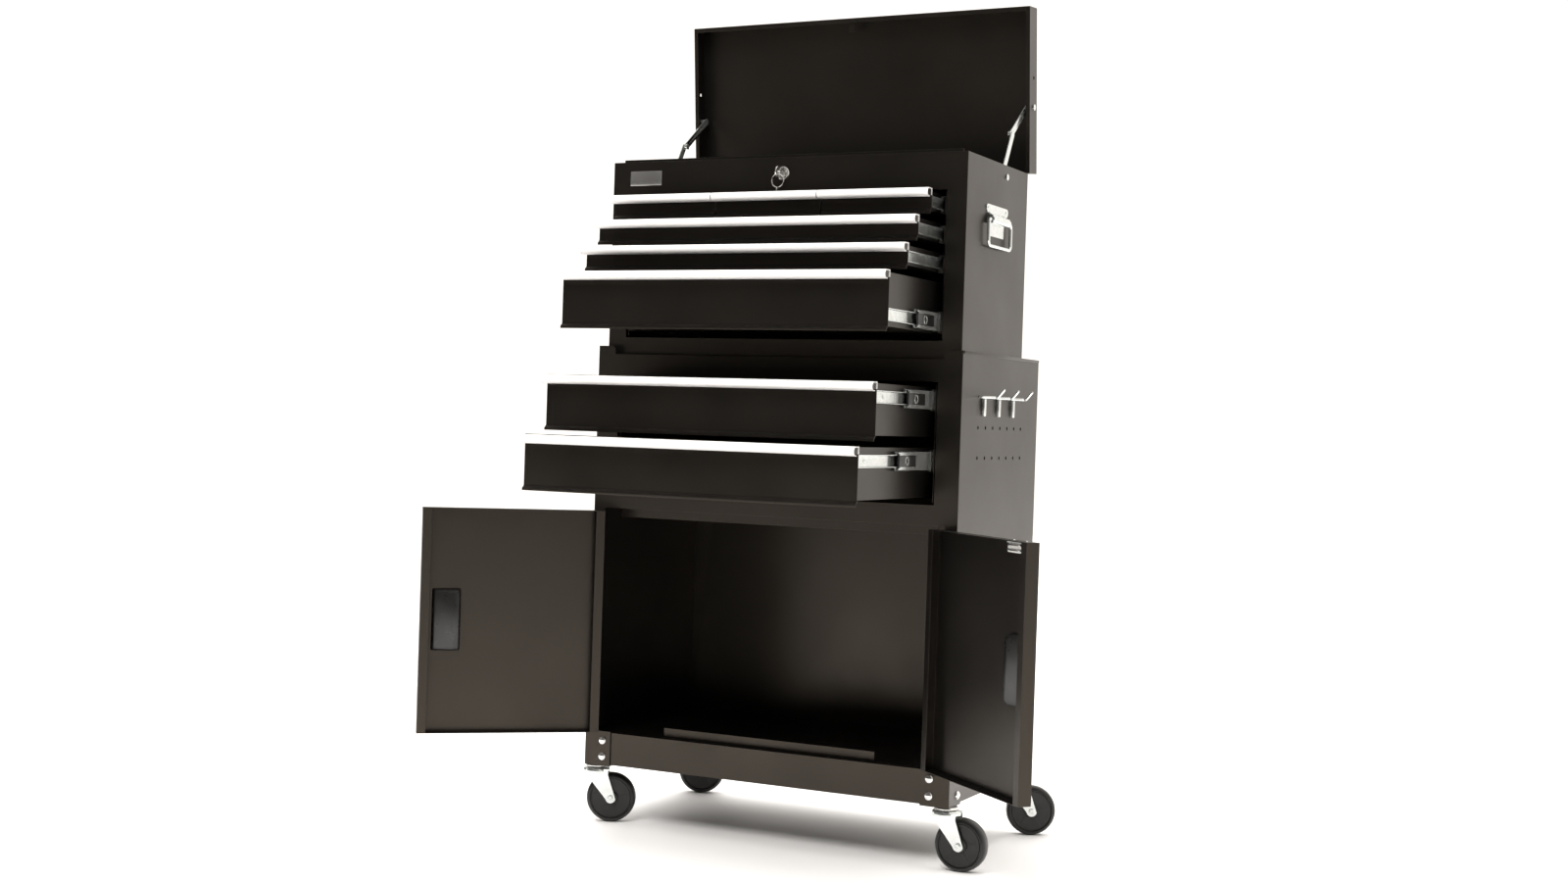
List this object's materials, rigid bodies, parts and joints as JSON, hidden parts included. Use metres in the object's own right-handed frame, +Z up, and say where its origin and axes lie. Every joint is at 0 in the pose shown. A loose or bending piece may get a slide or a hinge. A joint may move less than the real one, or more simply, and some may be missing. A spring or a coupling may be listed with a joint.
{
  "type": "rolling tool chest",
  "caption": "Lidded drawer chest standing on a two-door cabinet with swivel casters, wire side hooks, drop handles and telescopic drawers, all open.",
  "frame": {"origin": "middle of the footprint on the floor, drawers, doors and lid open as pictured", "axes": "+Z up, drawers pull out towards -Y, hook board on the +X side"},
  "size_m": [0.9988, 0.6364, 1.3106],
  "materials": {
    "black_paint": "satin black powder coat",
    "zinc": "bright zinc plating",
    "trim_metal": "silver anodised",
    "chrome": "polished nickel",
    "black_plastic": "matte",
    "white_plastic": "satin",
    "rubber": "semi-gloss moulded"
  },
  "bodies": {
    "chest": {"cabinet_shell": "black_paint", "cabinet_front": "black_paint", "cabinet_floor": "black_paint", "chest_shell": "black_paint", "chest_front": "black_paint", "chest_till": "black_paint", "lid_hinge": "zinc", "handle_plate_left": "zinc", "handle_plate_right": "zinc", "hook_1": "zinc", "hook_2": "zinc", "hook_3": "zinc", "bracket_front_left": "black_paint", "bracket_front_right": "black_paint", "bracket_rear_left": "black_paint", "bracket_rear_right": "black_paint"},
    "drawer_row1_left": {"drawer_row1_left": "black_paint", "trim_row1_left": "trim_metal"},
    "drawer_row1_middle": {"drawer_row1_middle": "black_paint", "trim_row1_middle": "trim_metal"},
    "drawer_row1_right": {"drawer_row1_right": "black_paint", "trim_row1_right": "trim_metal"},
    "drawer_row2": {"drawer_row2": "black_paint", "trim_row2": "trim_metal"},
    "drawer_row3": {"drawer_row3": "black_paint", "trim_row3": "trim_metal"},
    "drawer_row4": {"drawer_row4": "black_paint", "trim_row4": "trim_metal"},
    "drawer_cabinet1": {"drawer_cabinet1": "black_paint", "trim_cabinet1": "trim_metal"},
    "drawer_cabinet2": {"drawer_cabinet2": "black_paint", "trim_cabinet2": "trim_metal"},
    "slide_row4_left": {"slide_row4_left": "zinc"},
    "slide_row4_right": {"slide_row4_right": "zinc"},
    "slide_cabinet1_left": {"slide_cabinet1_left": "zinc"},
    "slide_cabinet1_right": {"slide_cabinet1_right": "zinc"},
    "slide_cabinet2_left": {"slide_cabinet2_left": "zinc"},
    "slide_cabinet2_right": {"slide_cabinet2_right": "zinc"},
    "door_left": {"door_left": "black_paint", "door_pull_left": "black_plastic"},
    "door_right": {"door_right": "black_paint", "door_pull_right": "black_plastic", "door_catch": "white_plastic"},
    "lid": {"lid": "black_paint"},
    "stay_lower_left": {"stay_lower_left": "zinc"},
    "stay_upper_left": {"stay_upper_left": "zinc"},
    "stay_lower_right": {"stay_lower_right": "zinc"},
    "stay_upper_right": {"stay_upper_right": "zinc"},
    "lock": {"lock": "chrome"},
    "key_ring": {"key_ring": "chrome"},
    "bail_left": {"bail_left": "zinc"},
    "bail_right": {"bail_right": "zinc"},
    "fork_front_left": {"fork_front_left": "zinc"},
    "wheel_front_left": {"wheel_front_left": "rubber"},
    "fork_front_right": {"fork_front_right": "zinc"},
    "wheel_front_right": {"wheel_front_right": "rubber"},
    "fork_rear_left": {"fork_rear_left": "zinc"},
    "wheel_rear_left": {"wheel_rear_left": "rubber"},
    "fork_rear_right": {"fork_rear_right": "zinc"},
    "wheel_rear_right": {"wheel_rear_right": "rubber"}
  },
  "joints": [
    {"name": "pull_row1_left", "type": "slide", "parent": "chest", "child": "drawer_row1_left", "axis": [0, -1, 0], "range_m": [-0.0489, 0.121]},
    {"name": "pull_row1_middle", "type": "slide", "parent": "chest", "child": "drawer_row1_middle", "axis": [0, -1, 0], "range_m": [-0.0489, 0.121]},
    {"name": "pull_row1_right", "type": "slide", "parent": "chest", "child": "drawer_row1_right", "axis": [0, -1, 0], "range_m": [-0.0489, 0.121]},
    {"name": "pull_row2", "type": "slide", "parent": "chest", "child": "drawer_row2", "axis": [0, -1, 0], "range_m": [-0.0951, 0.075]},
    {"name": "pull_row3", "type": "slide", "parent": "chest", "child": "drawer_row3", "axis": [0, -1, 0], "range_m": [-0.1296, 0.04]},
    {"name": "pull_row4", "type": "slide", "parent": "chest", "child": "drawer_row4", "axis": [0, -1, 0], "range_m": [-0.1926, 0.027]},
    {"name": "pull_cabinet1", "type": "slide", "parent": "chest", "child": "drawer_cabinet1", "axis": [0, -1, 0], "range_m": [-0.2106, 0.079]},
    {"name": "pull_cabinet2", "type": "slide", "parent": "chest", "child": "drawer_cabinet2", "axis": [0, -1, 0], "range_m": [-0.2642, 0.026]},
    {"name": "run_row4_left", "type": "slide", "parent": "chest", "child": "slide_row4_left", "axis": [0, -1, 0], "range_m": [-0.0963, 0.0135]},
    {"name": "run_row4_right", "type": "slide", "parent": "chest", "child": "slide_row4_right", "axis": [0, -1, 0], "range_m": [-0.0963, 0.0135]},
    {"name": "run_cabinet1_left", "type": "slide", "parent": "chest", "child": "slide_cabinet1_left", "axis": [0, -1, 0], "range_m": [-0.1053, 0.0395]},
    {"name": "run_cabinet1_right", "type": "slide", "parent": "chest", "child": "slide_cabinet1_right", "axis": [0, -1, 0], "range_m": [-0.1053, 0.0395]},
    {"name": "run_cabinet2_left", "type": "slide", "parent": "chest", "child": "slide_cabinet2_left", "axis": [0, -1, 0], "range_m": [-0.1321, 0.013]},
    {"name": "run_cabinet2_right", "type": "slide", "parent": "chest", "child": "slide_cabinet2_right", "axis": [0, -1, 0], "range_m": [-0.1321, 0.013]},
    {"name": "swing_door_left", "type": "hinge", "parent": "chest", "child": "door_left", "pos_m": [-0.287, -0.03999, 0.322], "axis": [0, 0, 1], "range_deg": [-40.8, 139.2]},
    {"name": "swing_door_right", "type": "hinge", "parent": "chest", "child": "door_right", "pos_m": [0.287, -0.03999, 0.322], "axis": [0, 0, -1], "range_deg": [-40.8, 139.2]},
    {"name": "swing_lid", "type": "hinge", "parent": "chest", "child": "lid", "pos_m": [0, 0.24331, 1.044], "axis": [-1, 0, 0], "range_deg": [-84.7, 0]},
    {"name": "fold_lower_left", "type": "hinge", "parent": "chest", "child": "stay_lower_left", "pos_m": [-0.292, 0.14401, 1.0294], "axis": [-1, 0, 0], "range_deg": [-125, 0]},
    {"name": "fold_upper_left", "type": "hinge", "parent": "lid", "child": "stay_upper_left", "pos_m": [-0.289, 0.25571, 1.15392], "axis": [-1, 0, 0], "range_deg": [0, 91.7]},
    {"name": "fold_lower_right", "type": "hinge", "parent": "chest", "child": "stay_lower_right", "pos_m": [0.292, 0.14401, 1.0294], "axis": [-1, 0, 0], "range_deg": [-125, 0]},
    {"name": "fold_upper_right", "type": "hinge", "parent": "lid", "child": "stay_upper_right", "pos_m": [0.289, 0.25571, 1.15392], "axis": [-1, 0, 0], "range_deg": [0, 91.7]},
    {"name": "turn_lock", "type": "hinge", "parent": "chest", "child": "lock", "pos_m": [0, -0.02099, 1.022], "axis": [0, -1, 0], "range_deg": [0, 90]},
    {"name": "swing_key_ring", "type": "hinge", "parent": "lock", "child": "key_ring", "pos_m": [0, -0.03899, 1.0191], "axis": [1, 0, 0], "range_deg": [-60, 15]},
    {"name": "swing_bail_left", "type": "hinge", "parent": "chest", "child": "bail_left", "pos_m": [-0.3063, 0.10401, 0.957], "axis": [0, 1, 0], "range_deg": [0, 100]},
    {"name": "swing_bail_right", "type": "hinge", "parent": "chest", "child": "bail_right", "pos_m": [0.3063, 0.10401, 0.957], "axis": [0, -1, 0], "range_deg": [0, 100]},
    {"name": "swivel_front_left", "type": "hinge", "parent": "chest", "child": "fork_front_left", "pos_m": [-0.299, -0.01899, 0.09], "axis": [0, 0, 1], "continuous": true},
    {"name": "roll_front_left", "type": "hinge", "parent": "fork_front_left", "child": "wheel_front_left", "pos_m": [-0.27653, -0.00803, 0.039], "axis": [-0.4384, 0.8988, 0], "continuous": true},
    {"name": "swivel_front_right", "type": "hinge", "parent": "chest", "child": "fork_front_right", "pos_m": [0.299, -0.01899, 0.09], "axis": [0, 0, 1], "continuous": true},
    {"name": "roll_front_right", "type": "hinge", "parent": "fork_front_right", "child": "wheel_front_right", "pos_m": [0.32399, -0.01812, 0.039], "axis": [-0.0349, 0.9994, 0], "continuous": true},
    {"name": "swivel_rear_left", "type": "hinge", "parent": "chest", "child": "fork_rear_left", "pos_m": [-0.299, 0.28101, 0.09], "axis": [0, 0, 1], "continuous": true},
    {"name": "roll_rear_left", "type": "hinge", "parent": "fork_rear_left", "child": "wheel_rear_left", "pos_m": [-0.27653, 0.29197, 0.039], "axis": [-0.4384, 0.8988, 0], "continuous": true},
    {"name": "swivel_rear_right", "type": "hinge", "parent": "chest", "child": "fork_rear_right", "pos_m": [0.299, 0.28101, 0.09], "axis": [0, 0, 1], "continuous": true},
    {"name": "roll_rear_right", "type": "hinge", "parent": "fork_rear_right", "child": "wheel_rear_right", "pos_m": [0.32147, 0.29197, 0.039], "axis": [-0.4384, 0.8988, 0], "continuous": true}
  ],
  "couplings": [
    {"joint": "run_row4_left", "follows": "pull_row4", "ratio": 0.5},
    {"joint": "run_row4_right", "follows": "pull_row4", "ratio": 0.5},
    {"joint": "run_cabinet1_left", "follows": "pull_cabinet1", "ratio": 0.5},
    {"joint": "run_cabinet1_right", "follows": "pull_cabinet1", "ratio": 0.5},
    {"joint": "run_cabinet2_left", "follows": "pull_cabinet2", "ratio": 0.5},
    {"joint": "run_cabinet2_right", "follows": "pull_cabinet2", "ratio": 0.5},
    {"joint": "fold_lower_left", "follows": "swing_lid", "ratio": 1.4752},
    {"joint": "fold_upper_left", "follows": "swing_lid", "ratio": -1.0815},
    {"joint": "fold_lower_right", "follows": "swing_lid", "ratio": 1.4752},
    {"joint": "fold_upper_right", "follows": "swing_lid", "ratio": -1.0815}
  ]
}
